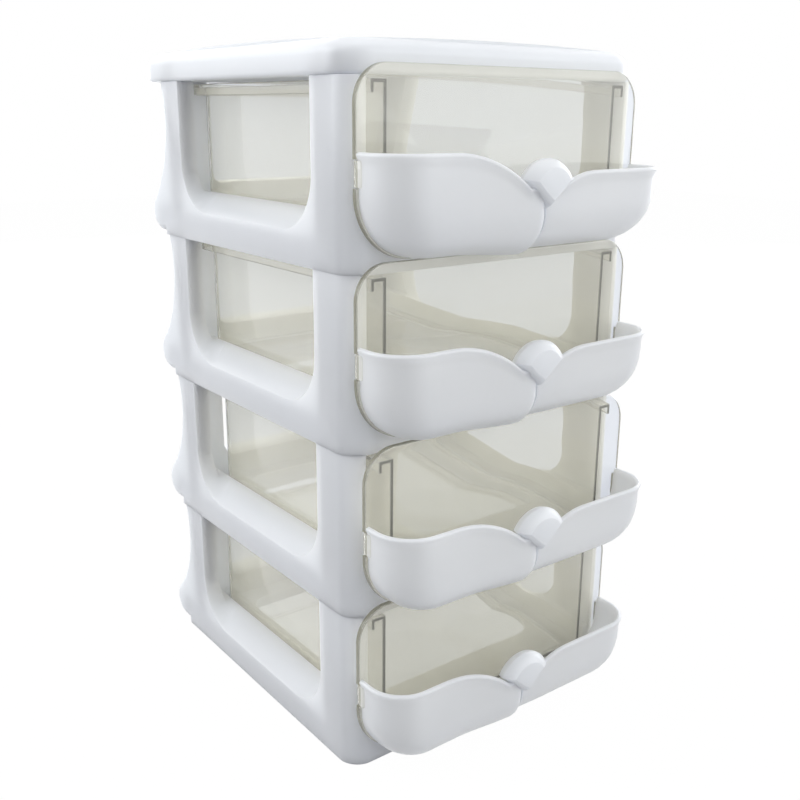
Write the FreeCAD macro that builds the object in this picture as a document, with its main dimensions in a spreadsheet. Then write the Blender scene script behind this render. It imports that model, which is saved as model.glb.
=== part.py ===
import FreeCAD, Part
import math
import os

import Sketcher
from FreeCAD import Vector

# A tower of stacked tiers, each with one clear drawer that pulls out at the front.
# Z is up from the desk, X runs to the right and Y to the rear.
# The origin is on the desk, under the middle of the whole object.

tier_count = 4
# the third drawer from the top stands a little open
ajar_tier = 3

# All lengths are in millimetres.
sizes = {
    # tower
    "body_width": 172.0,
    "body_depth": 177.0,
    "tier_height": 80.0,
    "front_corner_radius": 11.0,
    "rear_corner_radius": 4.0,
    # posts, rails and deck of a tier
    "post_thickness": 9.0,
    "front_post_width": 27.0,
    "rear_post_width": 23.0,
    "rear_post_span": 24.0,
    "rail_width": 14.0,
    "rail_height": 15.0,
    "sill_rise": 9.4,
    "window_radius": 26.0,
    "window_inner_radius": 15.0,
    "rear_wall": 9.0,
    "rear_rail_height": 27.5,
    "rear_window_radius": 8.0,
    "shell_wall": 2.4,
    "deck_thickness": 2.4,
    "deck_side_margin": 15.0,
    "deck_front_margin": 23.0,
    "deck_rear_margin": 15.0,
    "deck_hole_radius": 12.0,
    # swelling at the foot of each tier's rear face
    "bulge_reach": 18.5,
    "bulge_radius": 11.0,
    "bulge_lift": 1.5,
    "waist_radius": 56.0,
    # pegs that locate the next tier or the lid
    "peg_height": 3.6,
    "peg_clearance": 0.3,
    # lid
    "lid_overhang": 1.5,
    "lid_height": 17.5,
    "lid_corner_radius": 15.0,
    "lid_top_radius": 9.0,
    "lid_bottom_radius": 2.0,
    "lid_wall": 2.6,
    "lid_recess_radius": 8.0,
    "lid_recess_margin": 15.0,
    "socket_depth": 8.0,
    # tray
    "tray_side_gap": 3.0,
    "tray_rear_gap": 2.4,
    "tray_top_gap": 1.4,
    "tray_wall": 1.8,
    "tray_corner_radius": 5.0,
    "tray_foot_radius": 4.0,
    "rim_reach": 6.2,
    "rim_thickness": 1.6,
    "rim_drop": 5.5,
    "drawer_travel": 118.0,
    "stop_width": 2.5,
    "stop_clearance": 0.3,
    "stop_margin": 2.0,
    # low bars on the deck that the tray glides on
    "glide_height": 1.3,
    "glide_width": 2.4,
    "glide_margin": 11.0,
    # clear front
    "front_gap": 0.6,
    "front_thickness": 2.6,
    "front_margin": 2.4,
    "front_bottom": 5.7,
    "front_overlap": 4.9,
    "front_top_radius": 16.0,
    "front_bottom_radius": 28.0,
    "front_edge_radius": 0.6,
    # handle
    "handle_depth": 25.0,
    "handle_inset": 1.1,
    "handle_rise": 0.9,
    "handle_wall": 2.4,
    "handle_round": 18.0,
    "left_leaf_height": 43.0,
    "left_leaf_edge": 52.0,
    "left_leaf_radius": 60.0,
    "right_leaf_height": 34.0,
    "right_leaf_edge": 30.0,
    "right_leaf_radius": 35.0,
    "crease_width": 1.4,
    "crease_depth": 0.9,
    "leaf_gap": 24.0,
    # bud between the two leaves
    "bud_radius": 14.2,
    "bud_height": 26.5,
    "bud_point": 20.0,
    "bud_point_shift": -0.8,
    "bud_proud": 4.8,
    "bud_thickness": 9.0,
    "bud_round": 4.0,
    # side lugs of the handle in the front's notches
    "notch_depth": 3.2,
    "notch_height": 11.5,
    "notch_drop": 2.1,
    "lug_clearance": 0.3,
    # how far the third drawer stands open
    "ajar": 5.6,
    # how far cutting shapes run past what they cut
    "overrun": 5.0,
}


class Measure:
    """A length that knows its value and the formula that gives it."""

    def __init__(self, value, formula):
        self.value = value
        self.formula = formula

    def __add__(self, other):
        return Measure(self.value + other.value, "(%s + %s)" % (self.formula, other.formula))

    def __sub__(self, other):
        return Measure(self.value - other.value, "(%s - %s)" % (self.formula, other.formula))

    def __neg__(self):
        return Measure(-self.value, "(-%s)" % self.formula)

    def __mul__(self, other):
        if isinstance(other, Measure):
            return Measure(self.value * other.value, "(%s * %s)" % (self.formula, other.formula))
        return Measure(self.value * other, "(%s * %r)" % (self.formula, other))

    def __truediv__(self, other):
        if isinstance(other, Measure):
            return Measure(self.value / other.value, "(%s / %s)" % (self.formula, other.formula))
        return Measure(self.value / other, "(%s / %r)" % (self.formula, other))


class Sheet:
    """Every named size of the sheet as a Measure."""

    def __init__(self, table):
        for name, number in table.items():
            setattr(self, name, Measure(number, "Sizes." + name))


doc = FreeCAD.newDocument("mini_drawers")
sheet = doc.addObject("Spreadsheet::Sheet", "Sizes")
for row, (name, number) in enumerate(sizes.items(), 1):
    sheet.set("A%d" % row, name)
    sheet.set("B%d" % row, str(number))
    sheet.setAlias("B%d" % row, name)
doc.recompute()
s = Sheet(sizes)

# Places that several pieces share. Each piece is drawn with Y = 0 at the tower's front face,
# Z = 0 at its tier's foot and X = 0 in the middle.
zero = Measure(0.0, "0")
half_width = s.body_width / 2
post_inner = half_width - s.post_thickness
rail_inner = half_width - s.rail_width
rear_inner = s.body_depth - s.rear_wall
deck_top = s.rail_height
tray_bottom = deck_top + s.glide_height
tray_top = s.tier_height - s.tray_top_gap
tray_half = rail_inner - s.tray_side_gap
tray_rear = rear_inner - s.tray_rear_gap - s.rim_reach
front_back = -s.front_gap
front_face = front_back - s.front_thickness
handle_face = front_face - s.handle_depth
handle_half = half_width - s.front_margin - s.handle_inset
handle_bottom = s.front_bottom + s.handle_rise
left_leaf_top = handle_bottom + s.left_leaf_height
right_leaf_top = handle_bottom + s.right_leaf_height
post_hollows = (
    (s.front_corner_radius - s.shell_wall, s.front_post_width - s.shell_wall),
    (s.body_depth - s.rear_post_width + s.shell_wall, rear_inner),
)


def bind(thing, prop, measure):
    thing.setExpression(prop, measure.formula)


def recompute(feature):
    doc.recompute()
    if "Invalid" in feature.State or "Error" in feature.State:
        raise RuntimeError("%s failed: %s" % (feature.Label, feature.State))
    if not feature.Shape.isValid():
        raise RuntimeError("%s is not a sound solid" % feature.Label)
    return feature


def new_body(label):
    body = doc.addObject("PartDesign::Body", label)
    body.Label = label
    return body


def new_sketch(body, plane, offset=None):
    sketch = body.newObject("Sketcher::SketchObject", body.Label + "_sketch")
    support = [item for item in body.Origin.OriginFeatures if item.Role == plane][0]
    sketch.AttachmentSupport = [(support, "")]
    sketch.MapMode = "FlatFace"
    if offset is not None:
        bind(sketch, "AttachmentOffset.Base.z", offset)
    return sketch


def line(sketch, start, end):
    return sketch.addGeometry(Part.LineSegment(Vector(*start), Vector(*end)))


def arc(sketch, centre, radius, start_angle, end_angle):
    circle = Part.Circle(Vector(*centre), Vector(0, 0, 1), radius)
    return sketch.addGeometry(Part.ArcOfCircle(circle, start_angle, end_angle))


def join(sketch, first, first_end, second, second_end):
    sketch.addConstraint(Sketcher.Constraint("Coincident", first, first_end, second, second_end))


def join_tangent(sketch, first, first_end, second, second_end):
    sketch.addConstraint(Sketcher.Constraint("Tangent", first, first_end, second, second_end))


def set_distance(sketch, kind, element, point, measure):
    number = sketch.addConstraint(Sketcher.Constraint(kind, -1, 1, element, point, measure.value))
    bind(sketch, "Constraints[%d]" % number, measure)


def set_radius(sketch, element, measure):
    number = sketch.addConstraint(Sketcher.Constraint("Radius", element, measure.value))
    bind(sketch, "Constraints[%d]" % number, measure)


def mirrored(side, inner, outer):
    """The left and right end of a span on the given side, from its inner and outer ends."""
    return (inner, outer) if side > 0 else (-outer, -inner)


def rounded_box(sketch, left, right, low, high, low_radius=None, high_radius=None):
    """A box with its low and high corners rounded where a radius is given."""
    radii = (low_radius, low_radius, high_radius, high_radius)
    corners = ((left, low), (right, low), (right, high), (left, high))
    steps = ((1, 0), (0, 1), (-1, 0), (0, -1))
    sides = []
    for index in range(4):
        following = (index + 1) % 4
        start_gap = radii[index].value if radii[index] else 0
        end_gap = radii[following].value if radii[following] else 0
        step_x, step_y = steps[index]
        start = [corner.value for corner in corners[index]]
        end = [corner.value for corner in corners[following]]
        first = (start[0] + step_x * start_gap, start[1] + step_y * start_gap, 0)
        last = (end[0] - step_x * end_gap, end[1] - step_y * end_gap, 0)
        side = line(sketch, first, last)
        sketch.addConstraint(Sketcher.Constraint("Vertical" if step_x == 0 else "Horizontal", side))
        sides.append(side)
    for index in range(4):
        before = sides[index - 1]
        if not radii[index]:
            join(sketch, before, 2, sides[index], 1)
            continue
        radius = radii[index].value
        step_x, step_y = steps[index]
        inward_x, inward_y = steps[(index + 1) % 4]
        corner_x, corner_y = [corner.value for corner in corners[index]]
        centre = (corner_x + (step_x + inward_x) * radius, corner_y + (step_y + inward_y) * radius, 0)
        start_angle = math.pi + index * math.pi / 2
        bend = arc(sketch, centre, radius, start_angle, start_angle + math.pi / 2)
        join_tangent(sketch, before, 2, bend, 1)
        join_tangent(sketch, bend, 2, sides[index], 1)
        set_radius(sketch, bend, radii[index])
    set_distance(sketch, "DistanceY", sides[0], 1, low)
    set_distance(sketch, "DistanceX", sides[1], 1, right)
    set_distance(sketch, "DistanceY", sides[2], 1, high)
    set_distance(sketch, "DistanceX", sides[3], 1, left)


def outline(sketch, points):
    """A closed outline of straight lines through the given places."""
    count = len(points)
    places = [(x.value, y.value, 0) for x, y in points]
    sides = [line(sketch, places[index], places[(index + 1) % count]) for index in range(count)]
    for index in range(count):
        join(sketch, sides[index - 1], 2, sides[index], 1)
        set_distance(sketch, "DistanceX", sides[index], 1, points[index][0])
        set_distance(sketch, "DistanceY", sides[index], 1, points[index][1])


def pad(body, sketch, length, symmetric=False):
    before = body.Shape.Volume if body.Tip else 0
    feature = body.newObject("PartDesign::Pad", body.Label + "_pad")
    feature.Profile = sketch
    if symmetric:
        feature.SideType = "Symmetric"
    bind(feature, "Length", length)
    recompute(feature)
    if body.Shape.Volume <= before:
        raise RuntimeError("a pad of %s adds nothing" % body.Label)
    return feature


def pocket(body, sketch, depth, reverse=False):
    before = body.Shape.Volume
    feature = body.newObject("PartDesign::Pocket", body.Label + "_pocket")
    feature.Profile = sketch
    feature.Reversed = reverse
    bind(feature, "Length", depth)
    recompute(feature)
    if not 0 < body.Shape.Volume < before:
        raise RuntimeError("a pocket of %s cuts nothing" % body.Label)
    return feature


def round_edges(body, radius, wanted):
    """Rounds every edge for which wanted(edge) is true."""
    base = body.Tip
    edges = base.Shape.Edges
    names = ["Edge%d" % (index + 1) for index, edge in enumerate(edges) if wanted(edge)]
    if not names:
        raise RuntimeError("no edge of %s to round" % body.Label)
    feature = body.newObject("PartDesign::Fillet", body.Label + "_round")
    feature.Base = (base, names)
    bind(feature, "Radius", radius)
    return recompute(feature)


# how closely two places must agree to count as the same
tiny = 1e-4


def near(first, second):
    return abs(first - second) < tiny


def is_upright(edge):
    box = edge.BoundBox
    return near(box.XMin, box.XMax) and near(box.YMin, box.YMax) and box.ZLength > tiny


def side_profile(body):
    """The side view of a tier: straight in front, waisted and swelling out at the rear."""
    sketch = new_sketch(body, "YZ_Plane")
    depth, height, lift = s.body_depth.value, s.tier_height.value, s.bulge_lift.value
    bulge, waist = s.bulge_radius.value, s.waist_radius.value
    bulge_centre = s.body_depth + s.bulge_reach - s.bulge_radius
    bulge_middle = s.bulge_lift + s.bulge_radius
    middle = (bulge_centre.value, bulge_middle.value)
    reach = math.hypot(middle[0] - depth, middle[1] - height)
    along = (waist ** 2 - (waist + bulge) ** 2 + reach ** 2) / (2 * reach)
    aside = math.sqrt(waist ** 2 - along ** 2)
    unit = ((middle[0] - depth) / reach, (middle[1] - height) / reach)
    hollow = (depth + along * unit[0] - aside * unit[1], height + along * unit[1] + aside * unit[0])
    to_top = math.atan2(height - hollow[1], depth - hollow[0])
    to_bulge = math.atan2(middle[1] - hollow[1], middle[0] - hollow[0]) + 2 * math.pi
    base = line(sketch, (depth, 0, 0), (0, 0, 0))
    front = line(sketch, (0, 0, 0), (0, height, 0))
    top = line(sketch, (0, height, 0), (depth, height, 0))
    waist_arc = arc(sketch, (hollow[0], hollow[1], 0), waist, to_top, to_bulge)
    bulge_arc = arc(sketch, (middle[0], middle[1], 0), bulge, -math.pi / 2, to_bulge - math.pi)
    under = line(sketch, (middle[0], lift, 0), (depth, lift, 0))
    heel = line(sketch, (depth, lift, 0), (depth, 0, 0))
    join(sketch, base, 2, front, 1)
    join(sketch, front, 2, top, 1)
    join(sketch, top, 2, waist_arc, 1)
    join_tangent(sketch, waist_arc, 2, bulge_arc, 2)
    join_tangent(sketch, bulge_arc, 1, under, 1)
    join(sketch, under, 2, heel, 1)
    join(sketch, heel, 2, base, 1)
    sketch.addConstraint(Sketcher.Constraint("Coincident", front, 1, -1, 1))
    for flat in (base, top, under):
        sketch.addConstraint(Sketcher.Constraint("Horizontal", flat))
    for upright in (front, heel):
        sketch.addConstraint(Sketcher.Constraint("Vertical", upright))
    set_distance(sketch, "DistanceX", top, 2, s.body_depth)
    set_distance(sketch, "DistanceY", top, 2, s.tier_height)
    set_distance(sketch, "DistanceX", heel, 2, s.body_depth)
    set_distance(sketch, "DistanceX", bulge_arc, 3, bulge_centre)
    set_distance(sketch, "DistanceY", under, 1, s.bulge_lift)
    set_radius(sketch, waist_arc, s.waist_radius)
    set_radius(sketch, bulge_arc, s.bulge_radius)
    return sketch


def cut_window(body, side):
    """A side window, open at the top, whose sill rises towards the inside."""
    # The cutting shape runs past the rail on both sides, on the same slopes.
    past = s.overrun / s.rail_width
    rise = s.sill_rise * past
    narrowing = (s.window_radius - s.window_inner_radius) * past
    outer_sill = s.rail_height - rise
    inner_sill = s.rail_height + s.sill_rise + rise
    places = [(half_width + s.overrun, outer_sill, s.window_radius + narrowing),
              (rail_inner - s.overrun, inner_sill, s.window_inner_radius - narrowing)]
    if side < 0:
        places.reverse()
    sections = []
    for distance, sill, radius in places:
        section = new_sketch(body, "YZ_Plane", distance * side)
        rear = s.body_depth - s.rear_post_width
        rounded_box(section, s.front_post_width, rear, sill, s.tier_height + s.overrun, radius)
        sections.append(section)
    before = body.Shape.Volume
    feature = body.newObject("PartDesign::SubtractiveLoft", body.Label + "_window")
    feature.Profile = sections[0]
    feature.Sections = [sections[1]]
    feature.Ruled = True
    recompute(feature)
    if not 0 < body.Shape.Volume < before:
        raise RuntimeError("a window of %s is wrong" % body.Label)


def tier_frame(label):
    body = new_body(label)
    pad(body, side_profile(body), s.body_width, symmetric=True)
    edge_x = half_width.value
    round_edges(body, s.front_corner_radius,
                lambda edge: is_upright(edge) and near(edge.BoundBox.YMin, 0))
    round_edges(body, s.rear_corner_radius,
                lambda edge: edge.Curve.TypeId == "Part::GeomCircle"
                and near(abs(edge.CenterOfMass.x), edge_x))

    # The space the drawer runs in, wider above the rails.
    tunnel = new_sketch(body, "XZ_Plane")
    rounded_box(tunnel, -post_inner, post_inner, s.rail_height + s.sill_rise, s.tier_height + s.overrun)
    pocket(body, tunnel, rear_inner)
    channel = new_sketch(body, "XZ_Plane")
    rounded_box(channel, -rail_inner, rail_inner, deck_top, s.tier_height)
    pocket(body, channel, rear_inner)
    rear_window = new_sketch(body, "XZ_Plane", -rear_inner)
    rear_half = half_width - s.rear_post_span
    rounded_box(rear_window, -rear_half, rear_half, s.rear_rail_height,
                s.tier_height + s.overrun, s.rear_window_radius)
    pocket(body, rear_window, s.rear_wall + s.bulge_reach)

    # The deck's cut-out, and the hollow underside of the deck, rails, posts and rear rail.
    hole = new_sketch(body, "XY_Plane")
    hole_half = rail_inner - s.deck_side_margin
    rounded_box(hole, -hole_half, hole_half, s.deck_front_margin, rear_inner - s.deck_rear_margin,
                s.deck_hole_radius, s.deck_hole_radius)
    pocket(body, hole, deck_top, reverse=True)
    hollow = new_sketch(body, "XY_Plane")
    rounded_box(hollow, -rail_inner, rail_inner, s.shell_wall, rear_inner)
    for side in (-1, 1):
        left, right = mirrored(side, rail_inner + s.shell_wall, half_width - s.shell_wall)
        rounded_box(hollow, left, right, s.front_corner_radius - s.shell_wall, rear_inner)
    pocket(body, hollow, deck_top - s.deck_thickness, reverse=True)
    rear_hollow = new_sketch(body, "XY_Plane")
    rounded_box(rear_hollow, s.shell_wall - half_width, half_width - s.shell_wall,
                rear_inner + s.shell_wall, s.body_depth + s.bulge_reach - s.bulge_radius)
    pocket(body, rear_hollow, s.rail_height, reverse=True)
    post_hollow = new_sketch(body, "XY_Plane")
    pegs = new_sketch(body, "XY_Plane", s.tier_height - s.shell_wall)
    for side in (-1, 1):
        left, right = mirrored(side, post_inner + s.shell_wall, half_width - s.shell_wall)
        for low, high in post_hollows:
            rounded_box(post_hollow, left, right, low, high)
            rounded_box(pegs, left + s.peg_clearance, right - s.peg_clearance,
                        low + s.peg_clearance, high - s.peg_clearance)
    pocket(body, post_hollow, s.tier_height - s.shell_wall, reverse=True)
    pad(body, pegs, s.shell_wall + s.peg_height)

    # A low bar along the front edge and both sides of the deck carries the tray.
    outer = rail_inner - s.glide_margin
    inner = outer - s.glide_width
    front = s.shell_wall
    front_end = s.shell_wall + s.glide_width
    glide = new_sketch(body, "XY_Plane", deck_top - s.deck_thickness)
    outline(glide, [(-outer, front), (outer, front), (outer, tray_rear), (inner, tray_rear),
                    (inner, front_end), (-inner, front_end), (-inner, tray_rear), (-outer, tray_rear)])
    pad(body, glide, s.deck_thickness + s.glide_height)
    for side in (-1, 1):
        cut_window(body, side)
    return body


def top_lid(label):
    body = new_body(label)
    half = half_width + s.lid_overhang
    depth = s.body_depth + s.bulge_reach
    blank = new_sketch(body, "XY_Plane")
    rounded_box(blank, -half, half, zero, depth, s.lid_corner_radius, s.lid_corner_radius)
    pad(body, blank, s.lid_height)
    round_edges(body, s.lid_top_radius, lambda edge: near(edge.BoundBox.ZMin, s.lid_height.value))
    round_edges(body, s.lid_bottom_radius, lambda edge: near(edge.BoundBox.ZMax, 0))
    inner = post_inner - s.shell_wall
    recess = new_sketch(body, "XY_Plane")
    rounded_box(recess, -inner, inner, s.lid_recess_margin, rear_inner - s.shell_wall,
                s.lid_recess_radius, s.lid_recess_radius)
    pocket(body, recess, s.lid_height - s.lid_wall, reverse=True)
    rear = new_sketch(body, "XY_Plane")
    rounded_box(rear, -inner, inner, s.body_depth, depth - s.lid_top_radius,
                s.lid_bottom_radius, s.lid_bottom_radius)
    pocket(body, rear, s.lid_height - s.lid_wall, reverse=True)
    sockets = new_sketch(body, "XY_Plane")
    for side in (-1, 1):
        left, right = mirrored(side, post_inner + s.shell_wall, half_width - s.shell_wall)
        for low, high in post_hollows:
            rounded_box(sockets, left, right, low, high)
    pocket(body, sockets, s.socket_depth, reverse=True)
    return body


def drawer_tray(label):
    body = new_body(label)
    half = tray_half
    rear = tray_rear
    rim_low = tray_top - s.rim_drop
    rim = new_sketch(body, "XY_Plane", rim_low)
    rim_radius = s.tray_corner_radius + s.rim_reach
    rounded_box(rim, -half - s.rim_reach, half + s.rim_reach, front_back, rear + s.rim_reach,
                None, rim_radius)
    pad(body, rim, s.rim_drop)
    groove = new_sketch(body, "XY_Plane", rim_low)
    reach = s.rim_reach - s.rim_thickness
    rounded_box(groove, -half - reach, half + reach, front_back - s.overrun, rear + reach,
                None, s.tray_corner_radius + reach)
    pocket(body, groove, s.rim_drop - s.rim_thickness, reverse=True)
    blank = new_sketch(body, "XY_Plane", tray_bottom)
    rounded_box(blank, -half, half, front_back, rear, None, s.tray_corner_radius)
    pad(body, blank, tray_top - tray_bottom)
    foot = tray_bottom.value
    front = front_back.value + tiny
    round_edges(body, s.tray_foot_radius,
                lambda edge: near(edge.BoundBox.ZMax, foot) and edge.BoundBox.YMax > front)
    cavity = new_sketch(body, "XY_Plane", tray_bottom + s.tray_wall)
    inner = half - s.tray_wall
    rounded_box(cavity, -inner, inner, front_back - s.overrun, rear - s.tray_wall,
                None, s.tray_corner_radius - s.tray_wall)
    pocket(body, cavity, tray_top - tray_bottom, reverse=True)
    floor = (tray_bottom + s.tray_wall).value
    round_edges(body, s.tray_foot_radius - s.tray_wall,
                lambda edge: near(edge.BoundBox.ZMax, floor) and near(edge.BoundBox.ZMin, floor)
                and edge.BoundBox.YMax > front)
    # The ridge under the floor meets the deck's front bar when the drawer is fully out.
    stop_half = rail_inner - s.glide_margin - s.glide_width - s.stop_margin
    stop_front = s.shell_wall + s.glide_width + s.drawer_travel + s.stop_clearance
    stop = new_sketch(body, "XY_Plane", deck_top + s.stop_clearance)
    rounded_box(stop, -stop_half, stop_half, stop_front, stop_front + s.stop_width)
    pad(body, stop, s.glide_height - s.stop_clearance + s.tray_wall / 2)
    return body


def notch_places():
    """Low and high end of the notch on the left and on the right of a front."""
    for side, top in ((-1, left_leaf_top), (1, right_leaf_top)):
        high = top - s.notch_drop
        yield side, high - s.notch_height, high


def drawer_front(label):
    body = new_body(label)
    half = half_width - s.front_margin
    sheet_outline = new_sketch(body, "XZ_Plane", -front_back)
    rounded_box(sheet_outline, -half, half, s.front_bottom, s.tier_height + s.front_overlap,
                s.front_bottom_radius, s.front_top_radius)
    pad(body, sheet_outline, s.front_thickness)
    round_edges(body, s.front_edge_radius, lambda edge: near(edge.BoundBox.YMax, front_face.value))
    notches = new_sketch(body, "XZ_Plane", -front_back)
    for side, low, high in notch_places():
        left, right = mirrored(side, half - s.notch_depth, half + s.overrun)
        rounded_box(notches, left, right, low, high)
    pocket(body, notches, s.front_thickness, reverse=True)
    return body


def leaf_cut(sketch):
    """What is cut off above the two leaves: the left one stands higher than the right one."""
    left_top, right_top = left_leaf_top.value, right_leaf_top.value
    left_edge, right_edge = -s.left_leaf_edge.value, s.right_leaf_edge.value
    left_bend, right_bend = s.left_leaf_radius.value, s.right_leaf_radius.value
    gap = s.leaf_gap.value / 2
    above = left_leaf_top + s.overrun
    beyond = handle_half + s.overrun
    left_middle = left_top - left_bend
    right_middle = right_top - right_bend
    left_angle = math.acos((-gap - left_edge) / left_bend)
    right_angle = math.acos((gap - right_edge) / right_bend)
    left_meet = (-gap, left_middle + left_bend * math.sin(left_angle), 0)
    right_meet = (gap, right_middle + right_bend * math.sin(right_angle), 0)
    left_fall = arc(sketch, (left_edge, left_middle, 0), left_bend, left_angle, math.pi / 2)
    link = line(sketch, left_meet, right_meet)
    right_fall = arc(sketch, (right_edge, right_middle, 0), right_bend, math.pi / 2, right_angle)
    flat = line(sketch, (right_edge, right_top, 0), (beyond.value, right_top, 0))
    right_side = line(sketch, (beyond.value, right_top, 0), (beyond.value, above.value, 0))
    top = line(sketch, (beyond.value, above.value, 0), (left_edge, above.value, 0))
    left_side = line(sketch, (left_edge, above.value, 0), (left_edge, left_top, 0))
    join(sketch, left_side, 2, left_fall, 2)
    join(sketch, left_fall, 1, link, 1)
    join(sketch, link, 2, right_fall, 2)
    join_tangent(sketch, right_fall, 1, flat, 1)
    join(sketch, flat, 2, right_side, 1)
    join(sketch, right_side, 2, top, 1)
    join(sketch, top, 2, left_side, 1)
    for level in (flat, top):
        sketch.addConstraint(Sketcher.Constraint("Horizontal", level))
    for upright in (right_side, left_side):
        sketch.addConstraint(Sketcher.Constraint("Vertical", upright))
    sketch.addConstraint(Sketcher.Constraint("Vertical", left_fall, 2, left_fall, 3))
    set_distance(sketch, "DistanceX", left_side, 2, -s.left_leaf_edge)
    set_distance(sketch, "DistanceY", left_side, 2, left_leaf_top)
    set_distance(sketch, "DistanceX", link, 1, -s.leaf_gap / 2)
    set_distance(sketch, "DistanceX", link, 2, s.leaf_gap / 2)
    set_distance(sketch, "DistanceX", flat, 1, s.right_leaf_edge)
    set_distance(sketch, "DistanceY", flat, 1, right_leaf_top)
    set_distance(sketch, "DistanceX", flat, 2, beyond)
    set_distance(sketch, "DistanceY", top, 1, above)
    set_radius(sketch, left_fall, s.left_leaf_radius)
    set_radius(sketch, right_fall, s.right_leaf_radius)


def bud_outline(sketch):
    """Front view of the bud: round above, pointed below."""
    centre = handle_bottom + s.bud_height
    point = handle_bottom + s.bud_point
    radius = s.bud_radius.value
    dome = arc(sketch, (0, centre.value, 0), radius, 0, math.pi)
    left = line(sketch, (-radius, centre.value, 0), (s.bud_point_shift.value, point.value, 0))
    right = line(sketch, (s.bud_point_shift.value, point.value, 0), (radius, centre.value, 0))
    join(sketch, dome, 2, left, 1)
    join(sketch, left, 2, right, 1)
    join(sketch, right, 2, dome, 1)
    sketch.addConstraint(Sketcher.Constraint("PointOnObject", dome, 3, -2))
    sketch.addConstraint(Sketcher.Constraint("Horizontal", dome, 1, dome, 3))
    sketch.addConstraint(Sketcher.Constraint("Horizontal", dome, 2, dome, 3))
    set_distance(sketch, "DistanceY", dome, 3, centre)
    set_distance(sketch, "DistanceX", left, 2, s.bud_point_shift)
    set_distance(sketch, "DistanceY", left, 2, point)
    set_radius(sketch, dome, s.bud_radius)


def drawer_handle(label):
    body = new_body(label)
    outer_radius = s.front_bottom_radius - s.handle_inset
    blank = new_sketch(body, "XZ_Plane", -front_face)
    rounded_box(blank, -handle_half, handle_half, handle_bottom, left_leaf_top, outer_radius)
    pad(body, blank, s.handle_depth)
    face = handle_face.value
    top = left_leaf_top.value

    def around_front(edge, place):
        box = edge.BoundBox
        return near(box.YMin, place) and near(box.YMax, place) and not near(box.ZMin, top)

    round_edges(body, s.handle_round, lambda edge: around_front(edge, face))
    # The scoop is hollow, open at the back, where the clear front closes it, and at the top.
    back = front_face.value
    solid = body.Tip
    open_faces = ["Face%d" % (index + 1) for index, part_face in enumerate(solid.Shape.Faces)
                  if near(part_face.BoundBox.YMin, back) or near(part_face.BoundBox.ZMin, top)]
    hollow = body.newObject("PartDesign::Thickness", body.Label + "_hollow")
    hollow.Base = (solid, open_faces)
    hollow.Reversed = True
    bind(hollow, "Value", s.handle_wall)
    recompute(hollow)
    leaves = new_sketch(body, "XZ_Plane", -handle_face)
    leaf_cut(leaves)
    pocket(body, leaves, s.handle_depth)
    crease = new_sketch(body, "XZ_Plane", -handle_face)
    rounded_box(crease, -s.crease_width, zero, handle_bottom + s.handle_round,
                handle_bottom + s.bud_height)
    pocket(body, crease, s.crease_depth)
    bud = new_sketch(body, "XZ_Plane", s.bud_proud - s.bud_thickness - handle_face)
    bud_outline(bud)
    pad(body, bud, s.bud_thickness)
    front = face - s.bud_proud.value
    round_edges(body, s.bud_round, lambda edge: near(edge.BoundBox.YMax, front))
    lugs = new_sketch(body, "XZ_Plane", -front_back)
    notch_inner = half_width - s.front_margin - s.notch_depth
    for side, low, high in notch_places():
        left, right = mirrored(side, notch_inner + s.lug_clearance, handle_half)
        rounded_box(lugs, left, right, low + s.lug_clearance, high - s.lug_clearance)
    pad(body, lugs, s.front_thickness + s.handle_wall)
    return body


def place_body(body, tier, ahead=None):
    """Stands a piece on its tier, counted from the top, and moves it forward where it is ajar."""
    front = (s.front_gap + s.front_thickness + s.handle_depth + s.bud_proud + s.ajar
             - s.body_depth - s.bulge_reach) / 2
    if ahead:
        front = front - ahead
    bind(body, "Placement.Base.y", front)
    bind(body, "Placement.Base.z", s.tier_height * (tier_count - tier))
    return body


nodes = [place_body(top_lid("top_lid"), 0)]
for tier in range(1, tier_count + 1):
    nodes.append(place_body(tier_frame("tier_frame_%d" % tier), tier))
for make in (drawer_tray, drawer_front, drawer_handle):
    for tier in range(1, tier_count + 1):
        ahead = s.ajar if tier == ajar_tier else None
        nodes.append(place_body(make("%s_%d" % (make.__name__, tier)), tier, ahead))

doc.recompute()
for item in doc.Objects:
    if "Invalid" in item.State or "Error" in item.State:
        raise RuntimeError("%s is in state %s" % (item.Label, item.State))
os.makedirs("parts", exist_ok=True)
for body in nodes:
    shape = body.Shape
    if shape.isNull() or not shape.isValid():
        raise RuntimeError("%s has no valid shape" % body.Label)
    shape.exportStep("parts/%s.step" % body.Label)
    box = shape.BoundBox
    print(body.Label, "solids", len(shape.Solids), "volume", round(shape.Volume),
          "low", round(box.XMin, 2), round(box.YMin, 2), round(box.ZMin, 2),
          "high", round(box.XMax, 2), round(box.YMax, 2), round(box.ZMax, 2))
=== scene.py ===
import math
import bmesh
import bpy
from mathutils import Matrix, Vector


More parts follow.
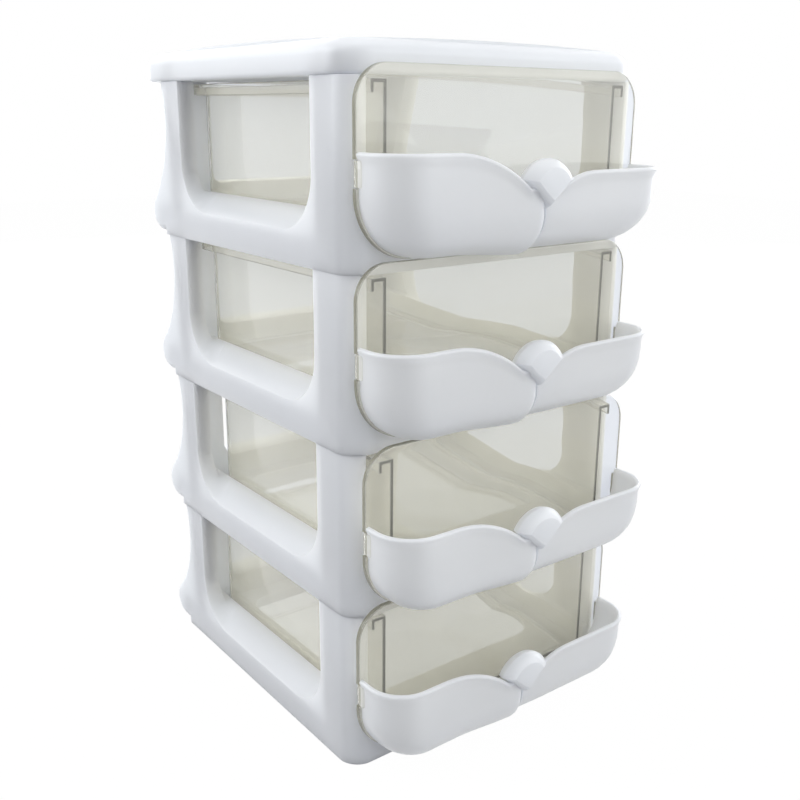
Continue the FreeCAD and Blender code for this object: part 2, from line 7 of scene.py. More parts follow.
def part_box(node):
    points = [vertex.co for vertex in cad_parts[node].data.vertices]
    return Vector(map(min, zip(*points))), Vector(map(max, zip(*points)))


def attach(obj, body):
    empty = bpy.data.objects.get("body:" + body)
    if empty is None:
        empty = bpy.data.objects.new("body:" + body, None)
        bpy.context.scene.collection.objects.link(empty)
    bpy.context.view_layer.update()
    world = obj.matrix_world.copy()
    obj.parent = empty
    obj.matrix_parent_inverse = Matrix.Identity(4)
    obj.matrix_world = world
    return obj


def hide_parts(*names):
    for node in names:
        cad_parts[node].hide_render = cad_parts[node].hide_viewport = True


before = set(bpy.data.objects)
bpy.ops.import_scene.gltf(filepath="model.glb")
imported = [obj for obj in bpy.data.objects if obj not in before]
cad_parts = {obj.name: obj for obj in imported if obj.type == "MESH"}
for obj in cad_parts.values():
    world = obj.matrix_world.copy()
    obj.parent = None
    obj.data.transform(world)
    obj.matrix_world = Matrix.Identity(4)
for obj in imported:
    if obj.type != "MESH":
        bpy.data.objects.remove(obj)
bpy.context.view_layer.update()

tiers = [1, 2, 3, 4]


# small helpers

def deselectAll():
    if bpy.context.object and bpy.context.object.mode != "OBJECT":
        bpy.ops.object.mode_set(mode="OBJECT")
    bpy.ops.object.select_all(action="DESELECT")


def selectOnly(ob):
    deselectAll()
    bpy.context.view_layer.objects.active = ob
    ob.select_set(True)


def editMode(ob):
    selectOnly(ob)
    bpy.ops.object.mode_set(mode="EDIT")
    bpy.ops.mesh.select_all(action="DESELECT")
    return bmesh.from_edit_mesh(ob.data)


def objectMode():
    bpy.ops.object.mode_set(mode="OBJECT")


def clearPick(mesh):
    for part in (mesh.verts, mesh.edges, mesh.faces):
        for item in part:
            item.select = False


def pickFaces(mesh, wanted):
    clearPick(mesh)
    for face in mesh.faces:
        if wanted(face):
            face.select_set(True)
    mesh.select_flush_mode()


def pickEdges(mesh, wanted):
    clearPick(mesh)
    for edge in mesh.edges:
        if wanted(edge):
            edge.select_set(True)


def finishWith(ob, kind, **values):
    # adds one modifier and applies it
    selectOnly(ob)
    modifier = ob.modifiers.new(kind.lower(), kind)
    for key, value in values.items():
        setattr(modifier, key, value)
    bpy.ops.object.modifier_apply(modifier=modifier.name)


def smooth(ob, angle):
    selectOnly(ob)
    bpy.ops.object.shade_smooth_by_angle(angle=math.radians(angle))


def wear(ob, mat):
    ob.data.materials.clear()
    ob.data.materials.append(mat)


def shiftedCopy(ob, name, shift):
    twin = bpy.data.objects.new(name, ob.data.copy())
    bpy.context.scene.collection.objects.link(twin)
    twin.data.transform(Matrix.Translation(shift))
    return twin


def softCopy(node, name, opts):
    # a copy of a moulding with its edges eased
    ob = bpy.data.objects.new(name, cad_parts[node].data.copy())
    bpy.context.scene.collection.objects.link(ob)
    editMode(ob)
    bpy.ops.mesh.select_all(action="SELECT")
    bpy.ops.mesh.customdata_custom_splitnormals_clear()
    bpy.ops.mesh.remove_doubles(threshold=opts["merge"])
    bpy.ops.mesh.dissolve_limited(angle_limit=math.radians(opts["flat"]))
    objectMode()
    finishWith(ob, "BEVEL", width=opts["ease"], segments=opts["steps"], limit_method="ANGLE",
               angle_limit=math.radians(opts["sharp"]), use_clamp_overlap=True)
    return ob


def shaderNode(tree, kind, **values):
    node = tree.nodes.new(kind)
    for key, value in values.items():
        if key in node.inputs:
            node.inputs[key].default_value = value
        else:
            setattr(node, key, value)
    return node


# camera, at the photo's viewing angle

camera = {
    "place": (-0.3096, -0.40815, 0.3066),
    "yaw": 37.302,      # degrees from +Y towards +X
    "pitch": -16.678,
    "roll": 0.378,
    "lens": 43.59,      # mm
    "sensor": 36,       # mm
    "near": 0.01,
}


def makeCamera(opts):
    yaw, pitch, roll = (math.radians(opts[key]) for key in ("yaw", "pitch", "roll"))
    ahead = Vector((math.sin(yaw) * math.cos(pitch), math.cos(yaw) * math.cos(pitch), math.sin(pitch)))
    right = Vector((math.cos(yaw), -math.sin(yaw), 0))
    up = right.cross(ahead)
    tiltedRight = right * math.cos(roll) + up * math.sin(roll)
    tiltedUp = up * math.cos(roll) - right * math.sin(roll)
    lensData = bpy.data.cameras.new("photoCamera")
    lensData.sensor_width = opts["sensor"]
    lensData.lens = opts["lens"]
    lensData.clip_start = opts["near"]
    view = bpy.data.objects.new("photoCamera", lensData)
    bpy.context.scene.collection.objects.link(view)
    view.matrix_world = Matrix((tiltedRight, tiltedUp, -ahead)).transposed().to_4x4()
    view.location = opts["place"]
    bpy.context.scene.camera = view


# materials

whiteFinish = {
    "colour": (0.88, 0.905, 0.978, 1),
    "darker": (0.985, 0.985, 0.99),    # the colour in the darker clouds, as a part of the above
    "clouds": 14.0, "cloudDetail": 3.0, "cloudFrom": 0.3, "cloudTo": 0.7,
    "ior": 1.49,
    "roughness": 0.34, "smoother": 0.05, "rougher": 0.06,
    "depth": 0.7,        # how much light soaks into the thin walls
    "reach": 0.014,      # how far it spreads in them
    "grain": 900,        # moulded skin, about a millimetre
    "grainDetail": 2.0,
    "grainHeight": 0.00001,
    "grainStrength": 0.25,
}


def makeWhitePlastic(opts):
    mat = bpy.data.materials.new("whitePlastic")
    mat.use_nodes = True
    tree = mat.node_tree
    shader = tree.nodes["Principled BSDF"]
    shader.inputs["IOR"].default_value = opts["ior"]
    shader.inputs["Subsurface Weight"].default_value = opts["depth"]
    shader.inputs["Subsurface Radius"].default_value = (1.0, 1.0, 1.0)
    shader.inputs["Subsurface Scale"].default_value = opts["reach"]
    place = shaderNode(tree, "ShaderNodeTexCoord")
    cloud = shaderNode(tree, "ShaderNodeTexNoise", Scale=opts["clouds"], Detail=opts["cloudDetail"])
    tone = shaderNode(tree, "ShaderNodeValToRGB")
    low, high = tone.color_ramp.elements
    low.position, high.position = opts["cloudFrom"], opts["cloudTo"]
    low.color = tuple(part * share for part, share in zip(opts["colour"], opts["darker"])) + (1,)
    high.color = opts["colour"]
    skin = shaderNode(tree, "ShaderNodeTexNoise", Scale=opts["grain"], Detail=opts["grainDetail"])
    gloss = shaderNode(tree, "ShaderNodeMapRange")
    gloss.inputs["To Min"].default_value = opts["roughness"] - opts["smoother"]
    gloss.inputs["To Max"].default_value = opts["roughness"] + opts["rougher"]
    bump = shaderNode(tree, "ShaderNodeBump", Strength=opts["grainStrength"], Distance=opts["grainHeight"])
    link = tree.links.new
    link(place.outputs["Object"], cloud.inputs["Vector"])
    link(place.outputs["Object"], skin.inputs["Vector"])
    link(cloud.outputs["Fac"], tone.inputs["Fac"])
    link(tone.outputs["Color"], shader.inputs["Base Color"])
    link(cloud.outputs["Fac"], gloss.inputs["Value"])
    link(gloss.outputs["Result"], shader.inputs["Roughness"])
    link(skin.outputs["Fac"], bump.inputs["Height"])
    link(bump.outputs["Normal"], shader.inputs["Normal"])
    return mat


clearFinish = {
    "colour": (0.95, 0.937, 0.862, 1),
    "lampTint": (0.995, 0.985, 0.95, 1),    # of light that falls through it
    "roughness": 0.02, "rougher": 0.03,
    "flow": 30.0, "flowDetail": 2.0,
    "ior": 1.45,
    "clarity": 0.80,     # the rest is a faint milky haze
}


def makeClearPlastic(opts):
    mat = bpy.data.materials.new("clearPlastic")
    mat.use_nodes = True
    tree = mat.node_tree
    shader = tree.nodes["Principled BSDF"]
    out = tree.nodes["Material Output"]
    shader.inputs["Base Color"].default_value = opts["colour"]
    shader.inputs["IOR"].default_value = opts["ior"]
    shader.inputs["Transmission Weight"].default_value = opts["clarity"]
    place = shaderNode(tree, "ShaderNodeTexCoord")
    flow = shaderNode(tree, "ShaderNodeTexNoise", Scale=opts["flow"], Detail=opts["flowDetail"])
    gloss = shaderNode(tree, "ShaderNodeMapRange")
    gloss.inputs["To Min"].default_value = opts["roughness"]
    gloss.inputs["To Max"].default_value = opts["roughness"] + opts["rougher"]
    film = shaderNode(tree, "ShaderNodeBsdfTransparent", Color=opts["lampTint"])
    path = shaderNode(tree, "ShaderNodeLightPath")
    bounced = shaderNode(tree, "ShaderNodeMixShader")
    mix = shaderNode(tree, "ShaderNodeMixShader")
    link = tree.links.new
    link(place.outputs["Object"], flow.inputs["Vector"])
    link(flow.outputs["Fac"], gloss.inputs["Value"])
    link(gloss.outputs["Result"], shader.inputs["Roughness"])
    link(path.outputs["Is Diffuse Ray"], bounced.inputs["Fac"])
    link(shader.outputs["BSDF"], bounced.inputs[1])
    link(film.outputs["BSDF"], bounced.inputs[2])
    link(path.outputs["Is Shadow Ray"], mix.inputs["Fac"])
    link(bounced.outputs["Shader"], mix.inputs[1])
    link(film.outputs["BSDF"], mix.inputs[2])
    link(mix.outputs["Shader"], out.inputs["Surface"])
    return mat


edgeShadeFinish = {
    "wall": (0.16, 0.155, 0.12, 1),     # painted shade: the dark look of a cut end seen along the clear wall
    # painted shade: the darker look of the plate's edge faces seen along the front
    "rim": (0.42, 0.41, 0.32, 1),
    "darker": 0.85,                     # the colour in the darker streaks, as a part of the above
    "streaks": 60.0, "streakDetail": 2.0,
    "roughness": 0.18, "rougher": 0.1,
    "clarity": 0.55,
}


def makeEdgePlastic(name, colour, opts):
    # a clear plastic whose colour is painted shade, for faces that one looks at along a clear wall
    mat = bpy.data.materials.new(name)
    mat.use_nodes = True
    tree = mat.node_tree
    shader = tree.nodes["Principled BSDF"]
    shader.inputs["IOR"].default_value = clearFinish["ior"]
    shader.inputs["Transmission Weight"].default_value = opts["clarity"]
    place = shaderNode(tree, "ShaderNodeTexCoord")
    streak = shaderNode(tree, "ShaderNodeTexNoise", Scale=opts["streaks"], Detail=opts["streakDetail"])
    tone = shaderNode(tree, "ShaderNodeValToRGB")
    tone.color_ramp.elements[0].color = tuple(part * opts["darker"] for part in colour[:3]) + (1,)
    tone.color_ramp.elements[1].color = colour
    gloss = shaderNode(tree, "ShaderNodeMapRange")
    gloss.inputs["To Min"].default_value = opts["roughness"]
    gloss.inputs["To Max"].default_value = opts["roughness"] + opts["rougher"]
    link = tree.links.new
    link(place.outputs["Object"], streak.inputs["Vector"])
    link(streak.outputs["Fac"], tone.inputs["Fac"])
    link(tone.outputs["Color"], shader.inputs["Base Color"])
    link(streak.outputs["Fac"], gloss.inputs["Value"])
    link(gloss.outputs["Result"], shader.inputs["Roughness"])
    return mat


# light, floor and backdrop

light = {
    "world": 0.38,
    "backdrop": 1.0,                    # how bright it looks, which lights nothing
    "floor": (0.45, 0.45, 0.46, 1),
    "floorSize": 6, "floorTop": -0.0002, "floorRoughness": 0.9,
    "floorGlow": 1.02,                  # how bright the floor looks
    "floorShare": 0.97,                 # the rest shows the shadows on it
    "behind": (0.88, 0.945, 1.17, 1),   # what the clear parts show of the backdrop
    "under": (0.68, 0.71, 0.80, 1),     # and of the floor right under the tower, darkened there as a painted shadow
    # the painted shadow fades out between these distances from the middle
    "underFrom": 0.085, "underTo": 0.17,
    "lamps": (0.955, 0.98, 1.0),        # a cool white
    "aim": (0, 0, 0.16),
    "key": {"place": (-1.3, 0.8, 1.0), "size": 1.4, "power": 19.0},
    "fill": {"place": (1.3, -1.3, 0.8), "size": 1.4, "power": 10.0},
    "front": {"place": (0.2, -1.6, 0.55), "size": 1.4, "power": 6.5},
    "top": {"place": (0.0, 0.0, 1.9), "size": 1.4, "power": 8.0},
    "rear": {"place": (0.3, 1.8, 0.7), "size": 1.4, "power": 8.5},
    "right": {"place": (1.8, 0.2, 0.6), "size": 1.4, "power": 12.0},
}


def addLamp(name, opts, colour, target):
    lamp = bpy.data.lights.new(name, "AREA")
    lamp.shape = "SQUARE"
    lamp.size = opts["size"]
    lamp.energy = opts["power"]
    lamp.color = colour
    ob = bpy.data.objects.new(name, lamp)
    bpy.context.scene.collection.objects.link(ob)
    ob.location = opts["place"]
    ob.visible_transmission = False    # not to be seen through the clear parts
    aim = Vector(target) - Vector(opts["place"])
    ob.rotation_euler = aim.to_track_quat("-Z", "Y").to_euler()


def seenDirectly(tree):
    # 1 for rays that show the backdrop as it is, 0 for rays that light the object
    path = shaderNode(tree, "ShaderNodeLightPath")
    first = shaderNode(tree, "ShaderNodeMath", operation="MAXIMUM")
    second = shaderNode(tree, "ShaderNodeMath", operation="MAXIMUM")
    tree.links.new(path.outputs["Is Camera Ray"], first.inputs[0])
    tree.links.new(path.outputs["Is Glossy Ray"], first.inputs[1])
    tree.links.new(first.outputs[0], second.inputs[0])
    tree.links.new(path.outputs["Is Transmission Ray"], second.inputs[1])
    return second.outputs[0]


def seenHue(tree, behind, source=None):
    # white as seen past the object, tinted as seen through its clear parts
    path = shaderNode(tree, "ShaderNodeLightPath")
    hue = shaderNode(tree, "ShaderNodeMix", data_type="RGBA")
    hue.inputs[6].default_value = (1, 1, 1, 1)
    hue.inputs[7].default_value = behind
    if source:
        tree.links.new(source, hue.inputs[7])
    tree.links.new(path.outputs["Is Transmission Ray"], hue.inputs["Factor"])
    return hue.outputs[2]


def makeBackdrop(opts):
    world = bpy.data.worlds.new("softWorld")
    world.use_nodes = True
    bpy.context.scene.world = world
    tree = world.node_tree
    lit = tree.nodes["Background"]
    lit.inputs["Color"].default_value = (1, 1, 1, 1)
    lit.inputs["Strength"].default_value = opts["world"]
    seen = shaderNode(tree, "ShaderNodeBackground", Strength=opts["backdrop"])
    tree.links.new(seenHue(tree, opts["behind"]), seen.inputs["Color"])
    mix = shaderNode(tree, "ShaderNodeMixShader")
    tree.links.new(seenDirectly(tree), mix.inputs["Fac"])
    tree.links.new(lit.outputs[0], mix.inputs[1])
    tree.links.new(seen.outputs[0], mix.inputs[2])
    tree.links.new(mix.outputs[0], tree.nodes["World Output"].inputs["Surface"])


def underShade(tree, opts):
    # the hue of the floor through the clear parts, with a painted shadow that greys it right under the
    # tower
    place = shaderNode(tree, "ShaderNodeTexCoord")
    away = shaderNode(tree, "ShaderNodeVectorMath", operation="LENGTH")
    ramp = shaderNode(tree, "ShaderNodeMapRange", interpolation_type="SMOOTHSTEP")
    ramp.inputs["From Min"].default_value = opts["underFrom"]
    ramp.inputs["From Max"].default_value = opts["underTo"]
    shade = shaderNode(tree, "ShaderNodeMix", data_type="RGBA")
    shade.inputs[6].default_value = opts["under"]
    shade.inputs[7].default_value = opts["behind"]
    tree.links.new(place.outputs["Object"], away.inputs[0])
    tree.links.new(away.outputs["Value"], ramp.inputs["Value"])
    tree.links.new(ramp.outputs["Result"], shade.inputs["Factor"])
    return shade.outputs[2]


def makeFloor(opts):
    deselectAll()
    bpy.ops.mesh.primitive_plane_add(size=opts["floorSize"], location=(0, 0, opts["floorTop"]))
    floor = bpy.context.object
    floor.name = "floor"
    mat = bpy.data.materials.new("paleFloor")
    mat.use_nodes = True
    tree = mat.node_tree
    shader = tree.nodes["Principled BSDF"]
    shader.inputs["Base Color"].default_value = opts["floor"]
    shader.inputs["Roughness"].default_value = opts["floorRoughness"]
    shader.inputs["Specular IOR Level"].default_value = 0.0
    glow = shaderNode(tree, "ShaderNodeEmission", Strength=opts["floorGlow"])
    tree.links.new(seenHue(tree, opts["behind"], underShade(tree, opts)), glow.inputs["Color"])
    share = shaderNode(tree, "ShaderNodeMath", operation="MULTIPLY")
    share.inputs[1].default_value = opts["floorShare"]
    mix = shaderNode(tree, "ShaderNodeMixShader")
    tree.links.new(seenDirectly(tree), share.inputs[0])
    tree.links.new(share.outputs[0], mix.inputs["Fac"])
    tree.links.new(shader.outputs[0], mix.inputs[1])
    tree.links.new(glow.outputs[0], mix.inputs[2])
    tree.links.new(mix.outputs[0], tree.nodes["Material Output"].inputs["Surface"])
    floor.data.materials.append(mat)


makeCamera(camera)
makeBackdrop(light)
for lamp in ("key", "fill", "front", "top", "rear", "right"):
    addLamp(lamp + "Lamp", light[lamp], light["lamps"], light["aim"])
makeFloor(light)
bpy.context.scene.view_settings.view_transform = "Standard"
print("camera, light and floor are set")

whitePlastic = makeWhitePlastic(whiteFinish)
clearPlastic = makeClearPlastic(clearFinish)
# these two carry painted shade for the tray's front ends and the plate's edge faces
wallEndShade = makeEdgePlastic("clearWallEnd", edgeShadeFinish["wall"], edgeShadeFinish)
rimEdgeShade = makeEdgePlastic("clearRim", edgeShadeFinish["rim"], edgeShadeFinish)


# lid and tiers: the mouldings with softer edges

moulding = {
    "merge": 0.00001,
    "flat": 1.0,       # degrees, faces this close lie in one plane
    "sharp": 38,       # degrees, edges over this are eased
    "ease": 0.0009,
    "steps": 2,
    "smooth": 40,      # degrees, edges under this are shaded smooth
}
tierStep = Vector((0, 0, -0.08))

lid = {
    "foot": 0.320,
    "eave": 0.007,      # the crown starts this high
    "height": 0.0175,
    "crown": 0.0020,    # how far the middle of each side lies under the top
    "cuts": 9,          # the top is cut this many times each way, so that it can bend
    "level": 0.99,      # faces that look up this much, and lie within slack of the top, belong to it
    "slack": 0.0001,
}


def makeLid(opts):
    ob = softCopy("top_lid", "roundedLid", moulding)
    low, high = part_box("top_lid")
    middle = [(a + b) / 2 for a, b in zip(low, high)]
    half = [(b - a) / 2 for a, b in zip(low, high)]
    mesh = editMode(ob)
    top = opts["foot"] + opts["height"] - opts["slack"]
    for axis in (0, 1):
        for cut in range(opts["cuts"]):
            spot, facing = list(middle), [0, 0, 0]
            spot[axis] += half[axis] * ((cut + 0.5) / opts["cuts"] * 2 - 1)
            facing[axis] = 1
            pickFaces(mesh, lambda face: (face.normal.z > opts["level"]
                                          and face.calc_center_median().z > top))
            bpy.ops.mesh.bisect(plane_co=spot, plane_no=facing)
            mesh = bmesh.from_edit_mesh(ob.data)
    for vert in mesh.verts:
        share = (vert.co.z - opts["foot"] - opts["eave"]) / (opts["height"] - opts["eave"])
        if share > 0:
            across = ((vert.co.x - middle[0]) / half[0]) ** 2
            along = ((vert.co.y - middle[1]) / half[1]) ** 2
            vert.co.z -= share * opts["crown"] * (across + along)
    bmesh.update_edit_mesh(ob.data)
    objectMode()
    smooth(ob, moulding["smooth"])
    wear(ob, whitePlastic)
    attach(ob, "tower")
    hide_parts("top_lid")


def makeTiers():
    first = softCopy("tier_frame_1", "roundedTier1", moulding)
    smooth(first, moulding["smooth"])
    wear(first, whitePlastic)
    for tier in tiers:
        ob = first
        if tier > 1:
            ob = shiftedCopy(first, "roundedTier%d" % tier, tierStep * (tier - 1))
        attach(ob, "tower")
        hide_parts("tier_frame_%d" % tier)


makeLid(lid)
makeTiers()
print("lid and tiers are softened")


# handles: one scoop of two leaves, the left lapped over the right, and a bud between them

scoop = {
    "back": -0.08165,      # the plate's face that the scoop stands on
    "foot": 0.2466,        # lowest edge on the top drawer
    "half": 0.0825,        # half the width
    "depth": 0.025,
    "cornerRound": 0.0269,
    "edgeRound": 0.018,    # between the face and the foot, and round the ends
    "bendShare": 0.72,     # the round ends take this part of the depth, where the scoop is shallow
    "wall": 0.0024,
    # heights of the rim over the foot, where each leaf starts to fall, and how round it falls
    "leftTop": 0.043, "leftEdge": -0.052, "leftBend": 0.060,
    "rightTop": 0.034, "rightEdge": 0.030, "rightBend": 0.035,
    "gap": 0.012,          # half the space between the leaves at their rims
    "lip": 0.0015,         # the rim turns outwards
    "lipReach": 0.0050,
    "lap": 0.0020,         # how far the left leaf stands over the right one
    "lapReach": 0.040,
    "hang": 0.0025,        # how much lower it ends at the crease
    "curl": 0.0050,        # the left leaf rolls into the crease
    "dip": 0.0056,         # and ends this deep in it
    "tuck": 0.0006,        # the right leaf lies this much behind it
    "tuckReach": 0.020,
    "ditch": 0.0030,       # and starts this deep in the crease
    "flatter": 0.4,        # the foot shows this much less of the above
    "creaseFoot": -0.0012, "creaseBow": 0.0022,    # where it ends, and how far it bows on the way
    "rimRows": 13, "roundRows": 10, "footRows": 3,
    "rimCrowd": 1.5,       # rows stand closer at the rim
    "firstRow": 0.0011,    # the rim's first row, so that its edge has room to be eased
    "sideColumns": 3, "cornerColumns": 10, "leftColumns": 22, "rightColumns": 16,
    "creaseCrowd": 1.7,    # columns stand closer at the crease
    "merge": 0.00002,
    "thinnest": 0.00005,   # faces and edges under this go
    "cleanings": 3,        # the foot's ends fold flat, and each pass takes out a part of that
    "ease": 0.0009, "easeSteps": 3,
    "easeFrom": 0.022,     # only the rim is eased, which lies higher than this over the foot
    "easeOff": 0.0005,     # and not where it stands on the plate
    "sharp": 50,           # degrees, for the rim's edges and for the shading
}

bud = {
    "radius": 0.0168,
    "centre": (-0.0008, 0.0239),   # of the dome, across and over the scoop's foot
    "spread": 61,                  # degrees each way from the top
    "steps": 28,
    "point": 0.0195,
    "pointShift": -0.0008,
    "flank": (0.25, 0.5, 0.75, 1.0),
    "bow": 0.0006,                 # how far the flanks hang through
    "pivot": (-0.0005, 0.0300),    # the rings close in on this place
    # where each ring lies behind the leaves' face, or before it, and its size
    "rings": ((0.0040, 0.86), (0.0030, 0.95), (0.0014, 0.99), (0.0, 1.0),
              (-0.0016, 0.939), (-0.0029, 0.864), (-0.0039, 0.776), (-0.0048, 0.646)),
    "smooth": 22,
}
drawerStep = {1: (0, 0, 0), 2: (0, 0, -0.08), 3: (0, -0.0056, -0.16), 4: (0, 0, -0.24)}


def shoulder(side, at, opts):
    # height of a leaf's round fall at a place across the scoop
    bend = opts[side + "Bend"]
    return opts[side + "Top"] - bend + math.sqrt(bend ** 2 - (at - opts[side + "Edge"]) ** 2)


def leafRim(x, opts):
    # height of the rim over the scoop's foot at a place across it
    gap = opts["gap"]
    if x <= opts["leftEdge"]:
        return opts["leftTop"]
    if x >= opts["rightEdge"]:
        return opts["rightTop"]
    if x <= -gap:
        return shoulder("left", x, opts)
    if x >= gap:
        return shoulder("right", x, opts)
    share = (x + gap) / (2 * gap)
    return shoulder("left", -gap, opts) * (1 - share) + shoulder("right", gap, opts) * share


def creaseAt(height, opts):
    # the crease runs down from the bud's point in a slight bow
    share = min(max(height / bud["point"], 0), 1)
    straight = bud["pointShift"] * share + opts["creaseFoot"] * (1 - share)
    return straight + opts["creaseBow"] * share * (1 - share)


def falloff(distance, reach):
    share = min(max(distance / reach, 0), 1)
    return 1 - share * share * (3 - 2 * share)


def rowHeight(rim, share, opts):
    # rows run from the rim, where share is under 0, down to the start of the round foot
    start = rim - opts["firstRow"]
    return rim if share < 0 else start + (opts["edgeRound"] - start) * share


def lipAt(drop, opts):
    # how far the wall leans out, this far under the rim
    return opts["lip"] * max(1 - drop / opts["lipReach"], 0) ** 2


def widthAt(level, opts):
    # half the scoop's width, which narrows in a round corner towards the foot
    corner = opts["cornerRound"]
    drop = max(corner - level, 0)
    return opts["half"] - corner + math.sqrt(max(corner * corner - drop * drop, 0))


def scoopPoint(column, row, opts):
    # row goes from the rim down round the foot to the plate, column from the left end to the right end
    edge, depth = opts["edgeRound"], opts["depth"]
    kind, across = column
    part, share = row
    lean, lip = 0.0, 0.0
    if part == "foot":
        height, out, lean = 0.0, (depth - edge) * (1 - share), 1.0
    elif part == "round":
        angle = share * math.pi / 2
        height, out, lean = edge * (1 - math.sin(angle)), depth - edge + edge * math.cos(angle), share
    else:
        height, out = None, depth
    bend = min(edge, out * opts["bendShare"])

    if kind in ("front", "lapped", "under"):
        side = -1 if kind == "lapped" or across < 0 else 1
        flat = across if kind == "front" else 0.0
        if height is None:
            rim = leafRim(flat * (opts["half"] - edge), opts)
            height = rowHeight(rim, share, opts)
            lip = lipAt(rim - height, opts)
        crease = creaseAt(height, opts)
        limit = widthAt(height, opts) - bend
        x = crease + (side * limit - crease) * abs(flat)
        away = abs(x - crease)
        hang = 0.0
        if side < 0:
            lap = falloff(away, opts["lapReach"])
            lift = opts["lap"] * lap - opts["dip"] * max(1 - away / opts["curl"], 0) ** 3
            hang = opts["hang"] * lap * lean * (1 - share if part == "foot" else 1)
        else:
            lift = -opts["tuck"] * falloff(away, opts["tuckReach"])
            lift -= opts["ditch"] if kind == "under" else 0.0
        return Vector((x, -out - lift * (1 - lean * opts["flatter"]) - lip, height - hang))

    sign, top = (-1, opts["leftTop"]) if kind.startswith("left") else (1, opts["rightTop"])
    if height is None:
        height = rowHeight(top, share, opts)
        lip = lipAt(top - height, opts)
    width = widthAt(height, opts)
    if kind.endswith("Side"):
        return Vector((sign * (width + lip), -(out - bend) * across, height))
    angle = across * math.pi / 2
    bulge = bend + lip
    return Vector((sign * (width - bend + bulge * math.cos(angle)),
                   -(out - bend + bulge * math.sin(angle)), height))


def scoopColumns(opts):
    # denser near the crease, where the left leaf laps over the right one
    side, corner, crowd = opts["sideColumns"], opts["cornerColumns"], opts["creaseCrowd"]
    columns = [("leftSide", index / side) for index in range(side)]
    columns += [("leftCorner", index / corner) for index in range(corner)]
    count = opts["leftColumns"]
    columns += [("front", -((count - index) / count) ** crowd) for index in range(count)]
    columns += [("lapped", 0), ("under", 0)]
    count = opts["rightColumns"]
    columns += [("front", (index / count) ** crowd) for index in range(1, count + 1)]
    columns += [("rightCorner", 1 - index / corner) for index in range(1, corner + 1)]
    columns += [("rightSide", 1 - index / side) for index in range(1, side + 1)]
    return columns


def scoopRows(opts):
    rows = [("rim", -1)]
    rows += [("rim", (index / opts["rimRows"]) ** opts["rimCrowd"]) for index in range(opts["rimRows"])]
    rows += [("round", index / opts["roundRows"]) for index in range(opts["roundRows"] + 1)]
    rows += [("foot", index / opts["footRows"]) for index in range(1, opts["footRows"] + 1)]
    return rows


def onRim(edge, opts):
    # the sharp edges along the top of the wall
    high = min(vert.co.z for vert in edge.verts) > opts["foot"] + opts["easeFrom"]
    free = min(vert.co.y for vert in edge.verts) < opts["back"] - opts["easeOff"]
    return high and free and edge.calc_face_angle(0) > math.radians(opts["sharp"])


def makeScoop(opts):
    rows, columns = scoopRows(opts), scoopColumns(opts)
    deselectAll()
    bpy.ops.mesh.primitive_grid_add(x_subdivisions=len(columns) - 1, y_subdivisions=len(rows) - 1, size=1)
    ob = bpy.context.object
    ob.name = "scoop1"
    place = Vector((0, opts["back"], opts["foot"]))
    for index, vert in enumerate(ob.data.vertices):
        down, along = divmod(index, len(columns))
        vert.co = scoopPoint(columns[along], rows[down], opts) + place
    ob.data.update()
    editMode(ob)
    bpy.ops.mesh.select_all(action="SELECT")
    bpy.ops.mesh.remove_doubles(threshold=opts["merge"])
    for again in range(opts["cleanings"]):
        bpy.ops.mesh.dissolve_degenerate(threshold=opts["thinnest"])
    bpy.ops.mesh.normals_make_consistent(inside=False)
    objectMode()
    middle = max(ob.data.polygons, key=lambda face: face.area)
    if middle.normal.y > 0:
        ob.data.flip_normals()
    finishWith(ob, "SOLIDIFY", thickness=opts["wall"], offset=-1, use_even_offset=False)
    mesh = editMode(ob)
    bpy.ops.mesh.select_mode(type="EDGE")
    pickEdges(mesh, lambda edge: onRim(edge, opts))
    bpy.ops.mesh.bevel(offset=opts["ease"], segments=opts["easeSteps"], affect="EDGES", clamp_overlap=False)
    bpy.ops.mesh.select_mode(type="VERT")
    bpy.ops.mesh.select_all(action="SELECT")
    bpy.ops.mesh.remove_doubles(threshold=opts["merge"])
    objectMode()
    smooth(ob, opts["sharp"])
    wear(ob, whitePlastic)
    return ob


def budOutline(opts):
    # a dome and two flanks that meet in a point, across and over the scoop's foot
    steps, middle, spots = opts["steps"], opts["centre"], []
    for index in range(steps + 1):
        turn = math.radians(opts["spread"]) * (1 - 2 * index / steps)
        spots.append((middle[0] + opts["radius"] * math.sin(turn),
                      middle[1] + opts["radius"] * math.cos(turn)))
    tip = (opts["pointShift"], opts["point"])
    for start, end, shares in ((spots[-1], tip, opts["flank"]), (tip, spots[0], opts["flank"][:-1])):
        for share in shares:
            bow = opts["bow"] * math.sin(math.pi * share)
            spots.append((start[0] + (end[0] - start[0]) * share,
                          start[1] + (end[1] - start[1]) * share - bow))
    return spots


def makeBud(opts):
    deselectAll()
    face, spots = scoop["back"] - scoop["depth"], budOutline(opts)
    bpy.ops.mesh.primitive_circle_add(vertices=len(spots), radius=opts["radius"], fill_type="NGON")
    ob = bpy.context.object
    ob.name = "bud1"
    for vert, (across, up) in zip(ob.data.vertices, spots):
        vert.co = (across, face, scoop["foot"] + up)
    ob.data.update()
    editMode(ob)
    bpy.ops.mesh.select_all(action="SELECT")
    pivot = (opts["pivot"][0], face, scoop["foot"] + opts["pivot"][1])
    place, size = opts["rings"][0]
    bpy.ops.transform.translate(value=(0, place, 0))
    bpy.ops.transform.resize(value=(size, 1, size), center_override=pivot)
    for ringPlace, ringSize in opts["rings"][1:]:
        bpy.ops.mesh.extrude_region_move(TRANSFORM_OT_translate={"value": (0, ringPlace - place, 0)})
        bpy.ops.transform.resize(value=(ringSize / size, 1, ringSize / size), center_override=pivot)
        place, size = ringPlace, ringSize
    bpy.ops.mesh.select_all(action="SELECT")
    bpy.ops.mesh.normals_make_consistent(inside=False)
    objectMode()
    smooth(ob, opts["smooth"])
    wear(ob, whitePlastic)
    return ob


# the ends that hold the scoop in the plate's notches

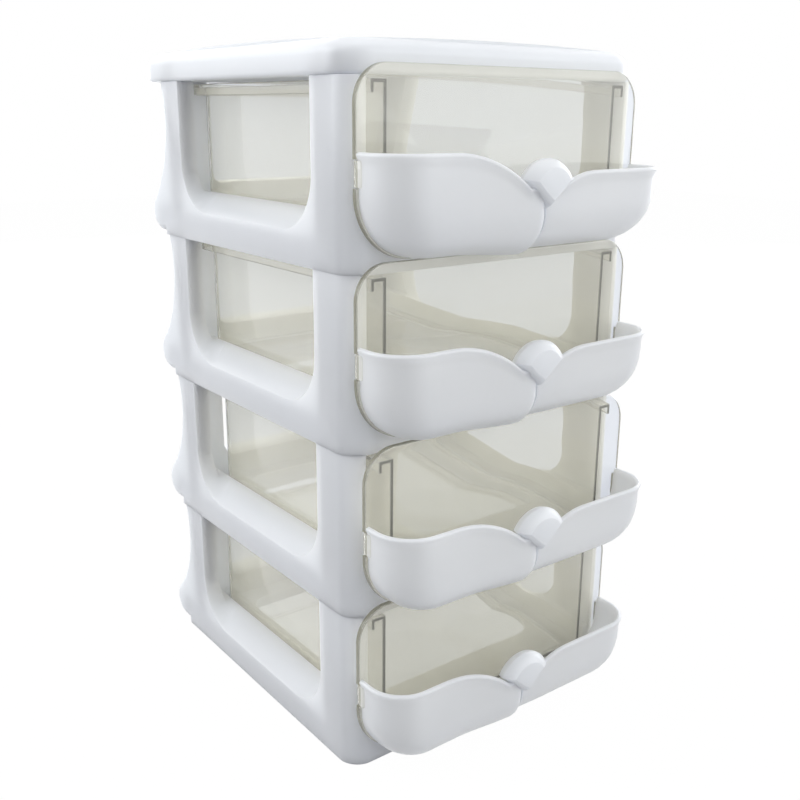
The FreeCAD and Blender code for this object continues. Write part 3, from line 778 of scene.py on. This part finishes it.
lugs = {
    "inner": 0.0807, "outer": 0.0834,
    "back": -0.0792, "front": -0.0841,
    "leftLow": 0.2763, "rightLow": 0.2673, "height": 0.0109,
    "ease": 0.0006, "steps": 2,
    "smooth": 40,
}


def makeLugs(opts):
    halves = []
    size = (opts["outer"] - opts["inner"], opts["back"] - opts["front"], opts["height"])
    for side, low in ((-1, opts["leftLow"]), (1, opts["rightLow"])):
        middle = (side * (opts["inner"] + opts["outer"]) / 2, (opts["back"] + opts["front"]) / 2,
                  low + size[2] / 2)
        deselectAll()
        bpy.ops.mesh.primitive_cube_add(size=1)
        ob = bpy.context.object
        ob.data.transform(Matrix.Translation(middle) @ Matrix.Diagonal(size).to_4x4())
        halves.append(ob)
    deselectAll()
    for ob in halves:
        ob.select_set(True)
    bpy.context.view_layer.objects.active = halves[0]
    bpy.ops.object.join()
    ob = bpy.context.object
    ob.name = "lugs1"
    finishWith(ob, "BEVEL", width=opts["ease"], segments=opts["steps"])
    smooth(ob, opts["smooth"])
    wear(ob, clearPlastic)
    return ob


# clear fronts and trays: the mouldings again, with painted shade on the ends where one looks along the wall

plate = dict(moulding, ease=0.0009, steps=3, rimBelow=0.2)
tray = dict(moulding, ease=0.00025, steps=1, endBelow=-0.6, endReach=0.0004)


def makePlate(opts):
    ob = softCopy("drawer_front_1", "plate1", opts)
    smooth(ob, opts["smooth"])
    wear(ob, clearPlastic)
    ob.data.materials.append(rimEdgeShade)
    # faces seen edge-on get the painted shade of the rim
    for face in ob.data.polygons:
        face.material_index = int(abs(face.normal.y) < opts["rimBelow"])
    return ob


def makeTray(opts):
    ob = softCopy("drawer_tray_1", "tray1", opts)
    smooth(ob, opts["smooth"])
    wear(ob, clearPlastic)
    ob.data.materials.append(wallEndShade)
    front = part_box("drawer_tray_1")[0][1] + opts["endReach"]
    # front-facing end faces get the painted shade of a wall seen along its length
    for face in ob.data.polygons:
        face.material_index = int(face.normal.y < opts["endBelow"] and face.center.y < front)
    return ob


firstScoop = makeScoop(scoop)
firstPlate = makePlate(plate)
firstTray = makeTray(tray)
firstBud = makeBud(bud)
firstLugs = makeLugs(lugs)
for tier in tiers:
    for first in (firstScoop, firstBud, firstLugs, firstPlate, firstTray):
        if tier > 1:
            first = shiftedCopy(first, first.name[:-1] + str(tier), Vector(drawerStep[tier]))
        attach(first, "drawer_%d" % tier)
    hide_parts("drawer_handle_%d" % tier)
    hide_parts("drawer_front_%d" % tier)
    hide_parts("drawer_tray_%d" % tier)
print("handles are on, finishes are set")
